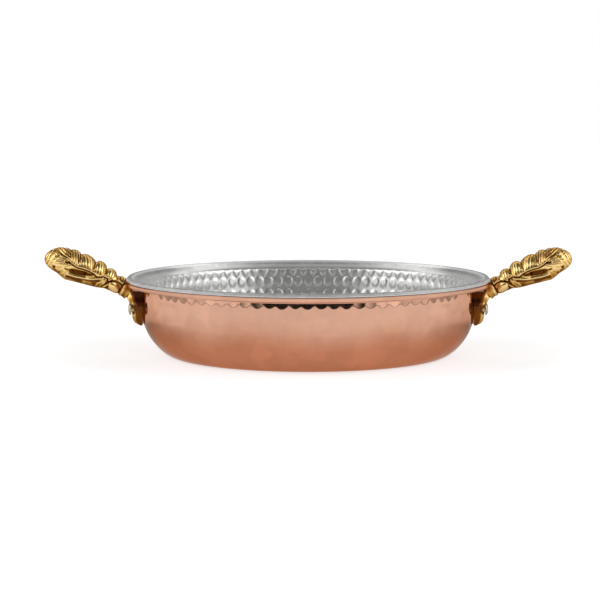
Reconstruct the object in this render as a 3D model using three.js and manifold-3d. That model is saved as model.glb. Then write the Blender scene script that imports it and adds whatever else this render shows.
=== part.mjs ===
// A shallow tinned copper pan with two cast brass leaf handles, each held by two rivets.
// Millimetres, +Z up. The origin is the middle of the flat base, and the handles lie along X.

import * as THREE from 'three';
import { mergeVertices } from 'three/addons/utils/BufferGeometryUtils.js';
import Module from 'manifold-3d';

const wasm = await Module();
wasm.setup();

// The copper bowl: its lip, the flare below it, the upright wall and the rounded corner
const rimRadius = 110;
const panHeight = 47.8;
const copperThickness = 1.4;
const lipFaceHeight = 4.3;
const lipWidth = 4;
const lipEdgeRadius = 0.8;
const flareHeight = 4.2;
const flareReach = 9.8;
const innerNeckRise = 2;
const cornerHeight = 24;
const cornerReach = 20.2;

// The tin over its inside and its lip
const tinThickness = 0.3;
const tinGap = 0.3;
const tinEdgeDrop = 2.7;

// The grip: how far it reaches and rises past the lip, and how low its root sits in the foot
const gripReach = 49.4;
const gripRise = 10.5;
const gripRootDrop = 1.9;
const gripHalfHeight = 9.4;
const gripHalfWidth = 9.4;
const lobeDepth = 1.3;
const lobeCount = 5;
const hollowDepth = 1.6;

// The foot that the grip stands on: a plate on the wall, and a strap that bends out under the lip
const plateHeight = 14;
const plateDrop = 7.3;
const footThickness = 6.1;
const footHalfWidth = 13;
const footCornerRadius = 8;
const heelHeight = 8;
const strapHalfWidth = 6.5;
const strapRise = 6.8;
const strapReach = 7.6;
const strapBendDrop = 6;
const seatGap = 0.3;

// The rivets
const rivetDrop = 3.6;
const rivetSpacing = 14.6;
const shankRadius = 2;
const holeClearance = 0.3;
const outerHeadRadius = 3.7;
const outerHeadHeight = 1.9;
const innerHeadRadius = 3.5;
const innerHeadHeight = 1.5;
const innerHeadGap = 0.45;
const headClearance = 0.5;
const cutOverrun = 2;

// How finely the curves are stepped
const turnSegments = 60;
const cornerSteps = 7;
const flareSteps = 5;
const edgeSteps = 2;
const rivetSegments = 16;
const domeSteps = 3;
const gripSides = 20;
const ringsPerLobe = 5;
const tipRings = 7;
const tongueSteps = 6;

// What follows from these sizes
const wallRadius = rimRadius - flareReach;
const baseRadius = wallRadius - cornerReach;
const lipBottomHeight = panHeight - lipFaceHeight;
const neckHeight = lipBottomHeight - flareHeight;
const innerNeckHeight = neckHeight + innerNeckRise;
const skinThickness = tinGap + tinThickness;
const tinEdgeHeight = panHeight - tinEdgeDrop;
const headSeatRadius = wallRadius + seatGap + footThickness;
const plateTopHeight = neckHeight - plateDrop;
const footBottomHeight = plateTopHeight - plateHeight;
const footTopHeight = plateTopHeight + strapRise;
const strapBendHeight = plateTopHeight - strapBendDrop;
const rivetHeight = plateTopHeight - rivetDrop;
const gripRootShare = 0.12;
const gripRootRadius = headSeatRadius + strapReach * gripRootShare;
const gripRootHeight = footTopHeight - gripRootDrop;
const gripTipRadius = rimRadius + gripReach;
const gripTipHeight = panHeight + gripRise;

const at = (x, y) => new THREE.Vector2(x, y);

// A curve's points without its first one, to follow a point that is already there.
function bezierPoints(start, startPull, endPull, end, steps) {
  return new THREE.CubicBezierCurve(start, startPull, endPull, end).getPoints(steps).slice(1);
}

// A quarter circle about a centre, without its first point.
function arcPoints(centre, radius, fromAngle, toAngle, steps) {
  const points = [];
  for (let step = 1; step <= steps; step += 1) {
    const angle = THREE.MathUtils.lerp(fromAngle, toAngle, step / steps);
    points.push(at(centre.x + radius * Math.cos(angle), centre.y + radius * Math.sin(angle)));
  }
  return points;
}

// Moves an open line to its left by a distance, each point along the mitre of its two edges.
function offsetLine(line, distance) {
  return line.map((point, index) => {
    const before = line[Math.max(index - 1, 0)];
    const after = line[Math.min(index + 1, line.length - 1)];
    const into = index > 0 ? point.clone().sub(before).normalize() : after.clone().sub(point).normalize();
    const out = index < line.length - 1 ? after.clone().sub(point).normalize() : into.clone();
    const mitre = into.clone().add(out).normalize();
    const side = at(-mitre.y, mitre.x);
    const stretch = distance / mitre.dot(into);
    return point.clone().addScaledVector(side, stretch);
  });
}

// The outside of the bowl: flat base, rounded corner, upright wall, neck and flare to the lip.
function cornerLine() {
  const footPullShare = 0.44;
  const wallPullShare = 0.57;
  const wallLeanShare = 0.03;
  const width = wallRadius - baseRadius;
  const corner = bezierPoints(
    at(baseRadius, 0),
    at(baseRadius + width * footPullShare, 0),
    at(wallRadius - width * wallLeanShare, cornerHeight * wallPullShare),
    at(wallRadius, cornerHeight),
    cornerSteps,
  );
  return [at(baseRadius, 0), ...corner];
}

function flareLine(fromRadius, fromHeight, toRadius, toHeight) {
  const pullShare = 0.55;
  const pull = (toHeight - fromHeight) * pullShare;
  return bezierPoints(
    at(fromRadius, fromHeight),
    at(fromRadius, fromHeight + pull),
    at(toRadius, toHeight - pull),
    at(toRadius, toHeight),
    flareSteps,
  );
}

function outsideLine() {
  return [
    at(0, 0),
    ...cornerLine(),
    at(wallRadius, neckHeight),
    ...flareLine(wallRadius, neckHeight, rimRadius, lipBottomHeight),
    at(rimRadius, tinEdgeHeight),
  ];
}

// The copper that the tin covers, from the ledge under the tin's edge over the lip to the axis.
function tinnedLine() {
  const outerRadius = rimRadius - skinThickness;
  const innerRadius = rimRadius - lipWidth + skinThickness;
  const top = panHeight - skinThickness;
  const wallInside = wallRadius - copperThickness;
  const edgeStart = top - lipEdgeRadius;
  const outerEdge = at(outerRadius - lipEdgeRadius, edgeStart);
  const innerEdge = at(innerRadius + lipEdgeRadius, edgeStart);
  const flare = flareLine(wallInside, innerNeckHeight, innerRadius, edgeStart).reverse().slice(1);
  return [
    at(outerRadius, edgeStart),
    ...arcPoints(outerEdge, lipEdgeRadius, 0, Math.PI / 2, edgeSteps),
    at(innerEdge.x, top),
    ...arcPoints(innerEdge, lipEdgeRadius, Math.PI / 2, Math.PI, edgeSteps),
    ...flare,
    ...offsetLine([at(0, 0), ...cornerLine(), at(wallRadius, innerNeckHeight)], copperThickness).reverse(),
  ];
}

// Turns a profile in radius and height about Z.
function turned(profile, segments) {
  return new THREE.LatheGeometry(profile, segments).rotateX(Math.PI / 2);
}

// A solid for joining and cutting, from a closed geometry.
function toSolid(geometry) {
  const bare = geometry.index ? geometry.toNonIndexed() : geometry.clone();
  bare.deleteAttribute('normal');
  bare.deleteAttribute('uv');
  const merged = mergeVertices(bare);
  const corners = Array.from(merged.index.array);
  const triangles = [];
  for (let first = 0; first < corners.length; first += 3) {
    const [a, b, c] = corners.slice(first, first + 3);
    if (a !== b && b !== c && c !== a) {
      triangles.push(a, b, c);
    }
  }
  const mesh = new wasm.Mesh({
    numProp: 3,
    vertProperties: new Float32Array(merged.attributes.position.array),
    triVerts: new Uint32Array(triangles),
  });
  return new wasm.Manifold(mesh);
}

function toGeometry(solid) {
  const { vertProperties, triVerts } = solid.getMesh();
  const geometry = new THREE.BufferGeometry();
  geometry.setAttribute('position', new THREE.BufferAttribute(vertProperties, 3));
  geometry.setIndex(new THREE.BufferAttribute(triVerts, 1));
  geometry.computeVertexNormals();
  return geometry;
}

// A closed solid through rings of as many points each, capped at both ends.
function lofted(rings) {
  const positions = [];
  const triangles = [];
  const sides = rings[0].length;
  for (const ring of rings) {
    for (const point of ring) {
      positions.push(point.x, point.y, point.z);
    }
  }
  for (let ring = 0; ring < rings.length - 1; ring += 1) {
    for (let side = 0; side < sides; side += 1) {
      const here = ring * sides + side;
      const beside = ring * sides + ((side + 1) % sides);
      triangles.push(here, beside, beside + sides, here, beside + sides, here + sides);
    }
  }
  for (const [ring, flipped] of [[0, false], [rings.length - 1, true]]) {
    const middle = new THREE.Vector3();
    rings[ring].forEach((point) => middle.addScaledVector(point, 1 / sides));
    const hub = positions.length / 3;
    positions.push(middle.x, middle.y, middle.z);
    for (let side = 0; side < sides; side += 1) {
      const here = ring * sides + side;
      const beside = ring * sides + ((side + 1) % sides);
      triangles.push(hub, flipped ? here : beside, flipped ? beside : here);
    }
  }
  const geometry = new THREE.BufferGeometry();
  geometry.setAttribute('position', new THREE.Float32BufferAttribute(positions, 3));
  geometry.setIndex(triangles);
  return geometry;
}

// Turns something made along +Z so that it points out along +X, at an angle round the pan.
function placedRadially(object, angle, height) {
  object.rotation.set(0, Math.PI / 2, angle, 'ZYX');
  object.position.set(0, 0, height);
  object.updateMatrix();
  return object;
}

const rivetAngle = Math.asin(rivetSpacing / 2 / wallRadius);
const rivetSides = [1, -1];

// Both rivets of one handle pass through round holes, from the bowl out through the foot, and
// their outer heads lie in seats that are cut flat into the foot where it bends outwards.
function rivetHoles() {
  const inside = wallRadius - copperThickness - skinThickness - cutOverrun;
  const outside = headSeatRadius + strapReach + cutOverrun;
  const boreRadius = shankRadius + holeClearance;
  const seatRadius = outerHeadRadius + headClearance;
  const profile = [
    at(0, inside),
    at(boreRadius, inside),
    at(boreRadius, headSeatRadius),
    at(seatRadius, headSeatRadius),
    at(seatRadius, outside),
    at(0, outside),
  ];
  const holes = rivetSides.map((side) => {
    const placer = placedRadially(new THREE.Object3D(), side * rivetAngle, rivetHeight);
    return toSolid(turned(profile, rivetSegments).applyMatrix4(placer.matrix));
  });
  return holes[0].add(holes[1]);
}

function withRivetHoles(geometry) {
  const halfTurn = new THREE.Matrix4().makeRotationZ(Math.PI).toArray();
  const holes = rivetHoles();
  return toGeometry(toSolid(geometry).subtract(holes).subtract(holes.transform(halfTurn)));
}

function panBody() {
  const profile = [
    ...outsideLine(),
    at(rimRadius - skinThickness, tinEdgeHeight),
    ...tinnedLine(),
  ];
  return withRivetHoles(turned(profile, turnSegments));
}

function tinLining() {
  const covered = [
    at(rimRadius - skinThickness, tinEdgeHeight + tinGap),
    ...tinnedLine(),
  ];
  const profile = [
    ...offsetLine(covered, -tinGap).reverse(),
    ...offsetLine(covered, -skinThickness),
  ];
  return withRivetHoles(turned(profile, turnSegments));
}

// Everything that the handle has to stay clear of: the bowl, grown by the seat's gap.
function clearOfBowl() {
  const grown = offsetLine(outsideLine().slice(1), -seatGap);
  const profile = [
    at(0, grown[0].y),
    ...grown,
    at(rimRadius + seatGap, panHeight + cutOverrun),
    at(0, panHeight + cutOverrun),
  ];
  return toSolid(turned(profile, turnSegments));
}

// The leaf: rings across a curved middle line. Humps like overlapping leaf tips run along its
// top, a hollow runs along each side below the leaf, and a smooth roll lies under it.
function gripLeaf() {
  const reach = gripTipRadius - gripRootRadius;
  const rise = gripTipHeight - gripRootHeight;
  const rootPullShares = at(0.18, 0.36);
  const tipPullShares = at(0.55, 0.83);
  const middle = new THREE.CubicBezierCurve(
    at(gripRootRadius, gripRootHeight),
    at(gripRootRadius + reach * rootPullShares.x, gripRootHeight + rise * rootPullShares.y),
    at(gripRootRadius + reach * tipPullShares.x, gripRootHeight + rise * tipPullShares.y),
    at(gripTipRadius, gripTipHeight),
  );
  const heightShares = [0.48, 0.53, 0.65, 0.78, 0.89, 0.97, 1];
  const widthShares = [0.52, 0.56, 0.68, 0.83, 0.95, 1, 1];
  const tipStartShare = 0.72;
  const lobesEndShare = 0.78;
  const lastRingShare = 0.93;
  const lobeSkew = 1.4;
  const leafEdgeShare = 0.1;
  const hollowShare = -0.35;
  const hollowSpreadShare = 0.25;

  const shareAlong = (shares, along) => {
    const spot = Math.min(along / tipStartShare, 1) * (shares.length - 1);
    const low = Math.min(Math.floor(spot), shares.length - 2);
    return THREE.MathUtils.lerp(shares[low], shares[low + 1], spot - low);
  };
  const tipRound = (along) => {
    const past = Math.max(along - tipStartShare, 0) / (1 - tipStartShare);
    return Math.sqrt(Math.max(1 - past * past, 0));
  };

  const stations = [];
  const lobeRings = lobeCount * ringsPerLobe;
  for (let ring = 0; ring <= lobeRings; ring += 1) {
    stations.push((ring / lobeRings) * lobesEndShare);
  }
  for (let ring = 1; ring <= tipRings; ring += 1) {
    const roundTheTip = Math.sin((ring / tipRings) * lastRingShare * Math.PI / 2);
    stations.push(THREE.MathUtils.lerp(lobesEndShare, 1, roundTheTip));
  }

  const rings = stations.map((along) => {
    const centre = middle.getPointAt(along);
    const forward = middle.getTangentAt(along);
    const up = at(-forward.y, forward.x);
    const halfHeight = gripHalfHeight * shareAlong(heightShares, along) * tipRound(along);
    const halfWidth = gripHalfWidth * shareAlong(widthShares, along) * tipRound(along);
    const acrossLobe = (lobeCount * along / lobesEndShare) % 1;
    const onLobes = along < lobesEndShare ? Math.sin(Math.PI * acrossLobe ** lobeSkew) : 0;
    const hollowFade = Math.sin(Math.PI * Math.min(along, lobesEndShare) / lobesEndShare);
    const ring = [];
    for (let side = 0; side < gripSides; side += 1) {
      const angle = (side / gripSides) * Math.PI * 2;
      const upShare = Math.cos(angle);
      const leafShare = THREE.MathUtils.smoothstep(upShare, hollowShare, leafEdgeShare);
      const hump = lobeDepth * onLobes * leafShare;
      const hollow = hollowDepth * hollowFade * Math.exp(-(((upShare - hollowShare) / hollowSpreadShare) ** 2));
      const tall = upShare * (halfHeight + hump);
      const wide = -Math.sin(angle) * Math.max(halfWidth + hump - hollow, 0);
      ring.push(new THREE.Vector3(centre.x + up.x * tall, wide, centre.y + up.y * tall));
    }
    return ring;
  });
  return toSolid(lofted(rings));
}

// The foot: a strap turned about the pan's axis, so that it wraps the wall, cut to a tongue.
function footPlate() {
  const inner = wallRadius + seatGap;
  const outer = inner + footThickness;
  const heelTop = footBottomHeight + heelHeight;
  const heel = new THREE.EllipseCurve(inner, heelTop, footThickness, heelHeight, -Math.PI / 2, 0);
  const bendPullShare = 0.4;
  const topPullShares = at(0.22, 0.4);
  const bendRise = footTopHeight - strapBendHeight;
  const profile = [
    at(inner, footBottomHeight),
    ...heel.getPoints(flareSteps).slice(1),
    at(outer, strapBendHeight),
    ...bezierPoints(
      at(outer, strapBendHeight),
      at(outer, strapBendHeight + bendRise * bendPullShare),
      at(outer + strapReach - bendRise * topPullShares.x, footTopHeight - bendRise * topPullShares.y),
      at(outer + strapReach, footTopHeight),
      flareSteps,
    ),
    at(inner, footTopHeight),
    at(inner, footBottomHeight),
  ];
  const tongue = new THREE.Shape();
  const low = footBottomHeight;
  tongue.moveTo(-footHalfWidth + footCornerRadius, low);
  tongue.lineTo(footHalfWidth - footCornerRadius, low);
  tongue.absarc(footHalfWidth - footCornerRadius, low + footCornerRadius, footCornerRadius, -Math.PI / 2, 0);
  tongue.lineTo(footHalfWidth, plateTopHeight);
  tongue.quadraticCurveTo(strapHalfWidth, plateTopHeight, strapHalfWidth, footTopHeight + cutOverrun);
  tongue.lineTo(-strapHalfWidth, footTopHeight + cutOverrun);
  tongue.quadraticCurveTo(-strapHalfWidth, plateTopHeight, -footHalfWidth, plateTopHeight);
  tongue.lineTo(-footHalfWidth, low + footCornerRadius);
  tongue.absarc(-footHalfWidth + footCornerRadius, low + footCornerRadius, footCornerRadius, Math.PI, 1.5 * Math.PI);
  const outline = new THREE.ExtrudeGeometry(tongue, {
    depth: gripTipRadius,
    bevelEnabled: false,
    curveSegments: tongueSteps,
  });
  outline.rotateX(Math.PI / 2).rotateZ(Math.PI / 2);
  return toSolid(turned(profile, turnSegments)).intersect(toSolid(outline));
}

function handle() {
  return toGeometry(gripLeaf().add(footPlate()).subtract(clearOfBowl()).subtract(rivetHoles()));
}

// A rivet along +Z from the pan's axis, its peened head inside the bowl, its dome outside.
function rivet() {
  const innerSeat = wallRadius - copperThickness - skinThickness - innerHeadGap;
  const outerSeat = headSeatRadius + seatGap;
  const dome = (seat, radius, height, sign) => {
    const points = [];
    for (let step = 0; step <= domeSteps; step += 1) {
      const angle = (step / domeSteps) * Math.PI / 2;
      points.push(at(radius * Math.cos(angle), seat + sign * height * Math.sin(angle)));
    }
    points[domeSteps].x = 0;
    return points;
  };
  const profile = [
    ...dome(innerSeat, innerHeadRadius, innerHeadHeight, -1).reverse(),
    at(shankRadius, innerSeat),
    at(shankRadius, outerSeat),
    ...dome(outerSeat, outerHeadRadius, outerHeadHeight, 1),
  ];
  return turned(profile, rivetSegments);
}

const copper = new THREE.MeshStandardMaterial({ color: 0xd69a7c, roughness: 0.22, metalness: 1 });
const tin = new THREE.MeshStandardMaterial({ color: 0xb9b9b6, roughness: 0.3, metalness: 1 });
const brass = new THREE.MeshStandardMaterial({ color: 0xb5873a, roughness: 0.3, metalness: 1 });
const rivetBrass = new THREE.MeshStandardMaterial({ color: 0xc9b389, roughness: 0.35, metalness: 1 });

function named(name, geometry, material) {
  const mesh = new THREE.Mesh(geometry, material);
  mesh.name = name;
  return mesh;
}

// One handle with its two rivets, pointing out along +X.
function handleSet(side, rivetNames) {
  const set = new THREE.Group();
  set.add(named(`${side}_handle`, handle(), brass));
  rivetNames.forEach((name, index) => {
    const mesh = named(name, rivet(), rivetBrass);
    set.add(placedRadially(mesh, rivetSides[index] * rivetAngle, rivetHeight));
  });
  return set;
}

const pan = new THREE.Group();
pan.add(named('pan_body', panBody(), copper));
pan.add(named('tin_lining', tinLining(), tin));
pan.add(handleSet('right', ['right_back_rivet', 'right_front_rivet']));
const leftSet = handleSet('left', ['left_front_rivet', 'left_back_rivet']);
leftSet.rotation.z = Math.PI;
pan.add(leftSet);

export default pan;
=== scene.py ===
"""A shallow tinned copper pan with two cast brass leaf handles, modelled round its CAD frame.

Lengths are in metres, +Z is up, the origin is the middle of the flat base and the handles lie
along X.
"""

import math

import bmesh
import bpy
import numpy as np
from mathutils import Matrix, Vector
from mathutils.kdtree import KDTree


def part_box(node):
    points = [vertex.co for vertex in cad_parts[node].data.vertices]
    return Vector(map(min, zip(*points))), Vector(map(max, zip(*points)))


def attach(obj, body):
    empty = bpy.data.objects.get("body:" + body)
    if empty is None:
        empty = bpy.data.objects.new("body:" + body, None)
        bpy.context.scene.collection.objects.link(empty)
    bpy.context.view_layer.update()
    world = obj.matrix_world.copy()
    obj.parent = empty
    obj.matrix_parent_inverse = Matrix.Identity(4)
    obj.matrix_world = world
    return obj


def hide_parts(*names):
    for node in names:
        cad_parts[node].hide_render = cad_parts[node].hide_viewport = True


bl_info = {
    "name": "Copper Pan",
    "version": (1, 0, 0),
    "blender": (4, 5, 0),
    "location": "3D View > Sidebar > Copper Pan",
    "description": "Models a tinned copper pan with cast brass leaf handles",
    "category": "Add Mesh",
}

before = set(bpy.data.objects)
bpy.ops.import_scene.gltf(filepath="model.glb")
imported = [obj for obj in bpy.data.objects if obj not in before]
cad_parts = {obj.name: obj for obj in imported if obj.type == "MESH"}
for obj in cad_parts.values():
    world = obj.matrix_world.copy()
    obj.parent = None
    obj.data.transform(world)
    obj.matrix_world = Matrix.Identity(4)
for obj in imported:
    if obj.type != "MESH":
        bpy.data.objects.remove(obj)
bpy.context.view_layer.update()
RIM_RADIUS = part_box("pan_body")[1].y
PAN_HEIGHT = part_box("tin_lining")[1].z
TIP_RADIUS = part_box("right_handle")[1].x

MM = 0.001
FULL_TURN = 2 * math.pi


# Sizes and colours


def length(name, description, default):
    return bpy.props.FloatProperty(
        name=name, description=description, default=default, unit="LENGTH", precision=5
    )


def number(name, description, default):
    return bpy.props.FloatProperty(name=name, description=description, default=default)


def whole_number(name, description, default):
    return bpy.props.IntProperty(name=name, description=description, default=default)


def colour(name, description, default):
    return bpy.props.FloatVectorProperty(
        name=name, description=description, default=default, subtype="COLOR", min=0, max=1
    )


class BowlSizes(bpy.types.PropertyGroup):
    rim_radius: length("Rim radius", "From the axis to the outside of the lip", RIM_RADIUS)
    height: length("Height", "From the base to the top of the lip", PAN_HEIGHT)
    base_radius: length("Base radius", "Radius of the flat base", 80 * MM)
    wall_radius: length("Wall radius", "Outside radius of the upright wall", 100.2 * MM)
    corner_height: length("Corner height", "Where the rounded corner meets the wall", 24 * MM)
    neck_height: length("Neck height", "Where the hammered neck starts", 38.0 * MM)
    neck_top: length("Neck top", "Where the neck turns out into the lip", 41.5 * MM)
    inner_neck: length("Inner neck", "Where the tinned wall turns out", 42.9 * MM)
    lip_bottom: length("Lip underside", "Height of the lip's underside", 42.9 * MM)
    lip_width: length("Lip width", "Width of the lip, seen from above", 4 * MM)
    sheet: length("Sheet", "Thickness of the copper", 1.4 * MM)
    inner_lean: number("Inner lean", "Slope of the tinned wall in degrees", 6.5)
    scallops: whole_number("Neck dents", "Hammer dents in the row under the lip", 86)
    scallop_slope: number("Neck dent slope", "Lean of the dents under the lip", 0.1)
    facet_pitch: length("Facet size", "Distance between planishing blows", 13 * MM)
    facet_bow: length("Facet radius", "How flat one planishing blow leaves the wall", 260 * MM)


class LiningSizes(bpy.types.PropertyGroup):
    thickness: length("Tin", "Thickness of the tin", 0.3 * MM)
    gap: length("Gap", "Space kept between copper and tin", 0.3 * MM)
    edge_drop: length("Edge drop", "How far the tin runs down the outside of the lip", 2.4 * MM)
    marks: whole_number("Marks", "Hammer marks in one row round the wall", 96)
    first_row: length("First row", "From the neck down to the first full row of marks", 5.3 * MM)
    row_pitch: length("Row pitch", "Distance between two rows of marks", 8.2 * MM)
    mark_width: length("Mark width", "Half the width of one mark", 2.75 * MM)
    mark_length: length("Mark length", "Half the length of one mark", 3.45 * MM)
    mark_height: length("Mark height", "How far one mark stands out of the wall", 0.38 * MM)


class HandleSizes(bpy.types.PropertyGroup):
    root_radius: length("Root radius", "From the axis to the leaf's root", 107.512 * MM)
    root_height: length("Root height", "Height of the leaf's root", 36.9 * MM)
    tip_radius: length("Tip radius", "From the axis to the leaf's tip", TIP_RADIUS)
    tip_height: length("Tip height", "Height of the leaf's tip", 58.3 * MM)
    half_width: length("Half width", "Half the width of the leaf", 9.4 * MM)
    foot_low: length("Foot bottom", "Lowest point of the foot", 18 * MM)
    foot_high: length("Foot top", "Top of the strap under the lip", 38.8 * MM)
    foot_thickness: length("Foot thickness", "Thickness of the foot", 6.1 * MM)
    foot_half_width: length("Foot half width", "Half the width of the foot", 13 * MM)
    seat_gap: length("Seat gap", "Space kept between bowl and handle", 0.12 * MM)


class RivetSizes(bpy.types.PropertyGroup):
    height: length("Rivet height", "Height of the rivets above the base", 28.4 * MM)
    spacing: length("Spacing", "Distance between a handle's two rivets", 14.6 * MM)
    shank_radius: length("Shank radius", "Radius of the shank", 2 * MM)
    head_radius: length("Head radius", "Radius of the outer head", 3.7 * MM)
    head_height: length("Head height", "Height of the outer head", 1.9 * MM)
    peened_radius: length("Peened radius", "Radius of the peened inner head", 3.5 * MM)
    peened_height: length("Peened height", "Height of the peened inner head", 1.5 * MM)


class Finishes(bpy.types.PropertyGroup):
    copper: colour("Copper", "Polished copper of the upper wall", (0.625, 0.352, 0.245))
    # The low copper colour is a painted reflection: darker and redder where the copper near the base
    # mirrors the shaded floor.
    copper_low_shade: colour("Copper, low", "Warmer copper near the base", (0.50, 0.20, 0.11))
    copper_glint: colour("Copper glint", "Tint of what the copper mirrors", (0.85, 0.64, 0.54))
    tin: colour("Tin", "Wiped tin", (0.73, 0.73, 0.72))
    # Dull tin serves the tin's own dull spots and also a painted dark reflection across the flare.
    tin_dull_and_shade: colour("Dull tin", "Tin in worn and smoked places", (0.33, 0.325, 0.32))
    # Bright tin is a painted highlight: the white lines along the rounded edges of the lip.
    tin_highlight: colour("Bright tin", "Tin rubbed bright on the edges of the lip", (0.97, 0.97, 0.96))
    # Dark tin is painted shade: the dark line in the step where the tin ends on the copper.
    tin_edge_shade: colour("Dark tin", "Tarnish where the tin ends on the copper", (0.07, 0.06, 0.055))
    brass: colour("Brass", "Bright brass of the high places", (0.93, 0.66, 0.27))
    brass_mid: colour("Brass, middle", "Brass of the plain places", (0.63, 0.34, 0.075))
    brass_dark: colour("Brass, dark", "Brown patina in the recesses", (0.19, 0.060, 0.008))
    # Sooty brass is painted shade: the near-black of the foot's side edges in the shade under the
    # lip.
    brass_shade_black: colour("Brass, sooty", "Soot between foot and lip", (0.075, 0.027, 0.020))
    brass_glint: colour("Brass glint", "Tint of what the brass mirrors", (0.85, 0.6, 0.35))
    rivet: colour("Rivet brass", "Pale brass of the rivets", (0.66, 0.55, 0.38))
    floor: colour("Floor", "Pale floor and backdrop", (0.6, 0.6, 0.6))


class StageSizes(bpy.types.PropertyGroup):
    camera_distance: length("Camera distance", "From the axis to the camera", 1.4)
    camera_height: length("Camera height", "Height of the camera", 0.1814)
    aim_left: length("Aim left", "How far left of the axis the camera aims", 4.94 * MM)
    aim_height: length("Aim height", "Height that the camera aims at", 33.0 * MM)
    lens: number("Lens", "Focal length in millimetres", 139.5)
    floor_size: length("Floor size", "Width of the floor", 8.0)
    lamp_power: number("Lamp power", "Power of one side lamp in watts", 2.5)
    surround: number("Surround", "Brightness of the backdrop in reflections", 0.38)
    soft_boxes: number("Soft boxes", "Brightness of the wide lights at both sides", 1.4)
    room: number("Room", "Share of the light left in the room behind the camera", 0.012)
    ceiling: number("Ceiling", "Share of the ring of light seen over the room", 0.7)
    overhead: number("Overhead", "Share of the light left overhead", 0.15)
    overhead_from: number("Overhead from", "Sine of the elevation where overhead begins", 0.8)
    floor_glow: number("Floor glow", "Light that the lit floor itself gives", 0.66)


# Lines and meshes


def smooth_step(value, low, high):
    share = np.clip((value - low) / (high - low), 0, 1)
    return share * share * (3 - 2 * share)


def bezier(start, start_pull, end_pull, end, steps):
    """Points along a cubic curve, without its first one."""
    t = np.linspace(0, 1, steps + 1)[1:, None]
    a, b, c, d = (np.array(point, float) for point in (start, start_pull, end_pull, end))
    return (1 - t) ** 3 * a + 3 * (1 - t) ** 2 * t * b + 3 * (1 - t) * t**2 * c + t**3 * d


def arc(centre, radii, from_degrees, to_degrees, steps):
    """Points along an arc of a circle or an ellipse, without its first one."""
    angle = np.radians(np.linspace(from_degrees, to_degrees, steps + 1)[1:, None])
    return np.array(centre) + np.array(radii) * np.hstack([np.cos(angle), np.sin(angle)])


def offset_line(line, distance):
    """Moves an open line to its left, each point along the mitre of its two edges."""
    edges = np.diff(line, axis=0)
    edges /= np.linalg.norm(edges, axis=1)[:, None]
    into = np.vstack([edges[:1], edges])
    out = np.vstack([edges, edges[-1:]])
    mitre = into + out
    mitre /= np.linalg.norm(mitre, axis=1)[:, None]
    side = np.column_stack([-mitre[:, 1], mitre[:, 0]])
    return line + side * (distance / (mitre * into).sum(1))[:, None]


def lengths_along(line):
    """How far along a line each of its points lies."""
    return np.concatenate([[0], np.cumsum(np.linalg.norm(np.diff(line, axis=0), axis=1))])


def at_lengths(line, lengths, spots):
    """The line's values at some spots along it."""
    return np.column_stack([np.interp(spots, lengths, line[:, axis]) for axis in (0, 1)])


def even_line(line, pitch):
    """The same line with points at an even pitch."""
    lengths = lengths_along(line)
    spots = np.linspace(0, lengths[-1], max(2, round(lengths[-1] / pitch) + 1))
    return at_lengths(line, lengths, spots)


def thinned(line, *runs):
    """Keeps the points that the runs of places pick, and the last one."""
    places = sorted({place for run in runs for place in range(*run)} | {len(line) - 1})
    return line[places]


def only(*pieces):
    """Selects these pieces and nothing else, with the first one active."""
    bpy.ops.object.select_all(action="DESELECT")
    for piece in pieces:
        piece.select_set(True)
    bpy.context.view_layer.objects.active = pieces[0]


def added(name, add, **settings):
    """Adds a primitive with nothing else selected, and names it and its mesh."""
    bpy.ops.object.select_all(action="DESELECT")
    add(**settings)
    piece = bpy.context.object
    piece.name = piece.data.name = name
    return piece


def turned(name, outline, steps):
    """Draws an outline of radii and heights from one vertex and turns it once round Z."""
    piece = added(name, bpy.ops.mesh.primitive_plane_add, size=MM)
    bpy.ops.object.mode_set(mode="EDIT")
    bpy.ops.mesh.select_mode(type="VERT")
    bpy.ops.mesh.select_all(action="SELECT")
    bpy.ops.mesh.merge(type="CENTER")
    bpy.ops.transform.translate(value=(outline[0][0], 0, outline[0][1]))
    for step in np.diff(outline, axis=0):
        bpy.ops.mesh.extrude_region_move(
            TRANSFORM_OT_translate={"value": (float(step[0]), 0, float(step[1]))}
        )
    bpy.ops.object.mode_set(mode="OBJECT")
    screw = piece.modifiers.new("turn", "SCREW")
    screw.axis = "Z"
    screw.angle = FULL_TURN
    screw.steps = screw.render_steps = steps
    screw.use_merge_vertices = True
    screw.merge_threshold = 0.01 * MM
    bpy.ops.object.modifier_apply(modifier=screw.name)
    return piece


def corners(piece):
    points = np.empty(len(piece.data.vertices) * 3, np.float32)
    piece.data.vertices.foreach_get("co", points)
    return points.reshape(-1, 3).astype(float)


def set_corners(piece, points):
    piece.data.vertices.foreach_set("co", np.ascontiguousarray(points, np.float32).ravel())
    piece.data.update()


def turned_places(piece, outline, steps):
    """Each corner's angle, snapped to the spin's steps, and its place in the outline."""
    points = corners(piece)
    radius = np.hypot(points[:, 0], points[:, 1])
    step = FULL_TURN / steps
    angle = np.round(np.arctan2(points[:, 1], points[:, 0]) / step) * step
    angle[radius < MM / 10] = 0
    place = np.empty(len(points), int)
    batch = 20000
    for start in range(0, len(points), batch):
        part = slice(start, start + batch)
        away = (radius[part, None] - outline[None, :, 0]) ** 2
        away += (points[part, None, 2] - outline[None, :, 1]) ** 2
        place[part] = away.argmin(1)
    return angle, place


def outline_normals(outline):
    """The way out of a turned piece at each point of its outline."""
    edges = np.gradient(outline, axis=0)
    normals = np.column_stack([edges[:, 1], -edges[:, 0]])
    return normals / np.linalg.norm(normals, axis=1)[:, None]


def put_round(piece, radius, height, angle):
    """Puts each corner at a radius, a height and an angle round Z."""
    points = np.column_stack([radius * np.cos(angle), radius * np.sin(angle), height])
    set_corners(piece, points)


def faces_outwards(piece):
    only(piece)
    bpy.ops.object.mode_set(mode="EDIT")
    bpy.ops.mesh.select_all(action="SELECT")
    bpy.ops.mesh.normals_make_consistent(inside=False)
    bpy.ops.object.mode_set(mode="OBJECT")


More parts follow.
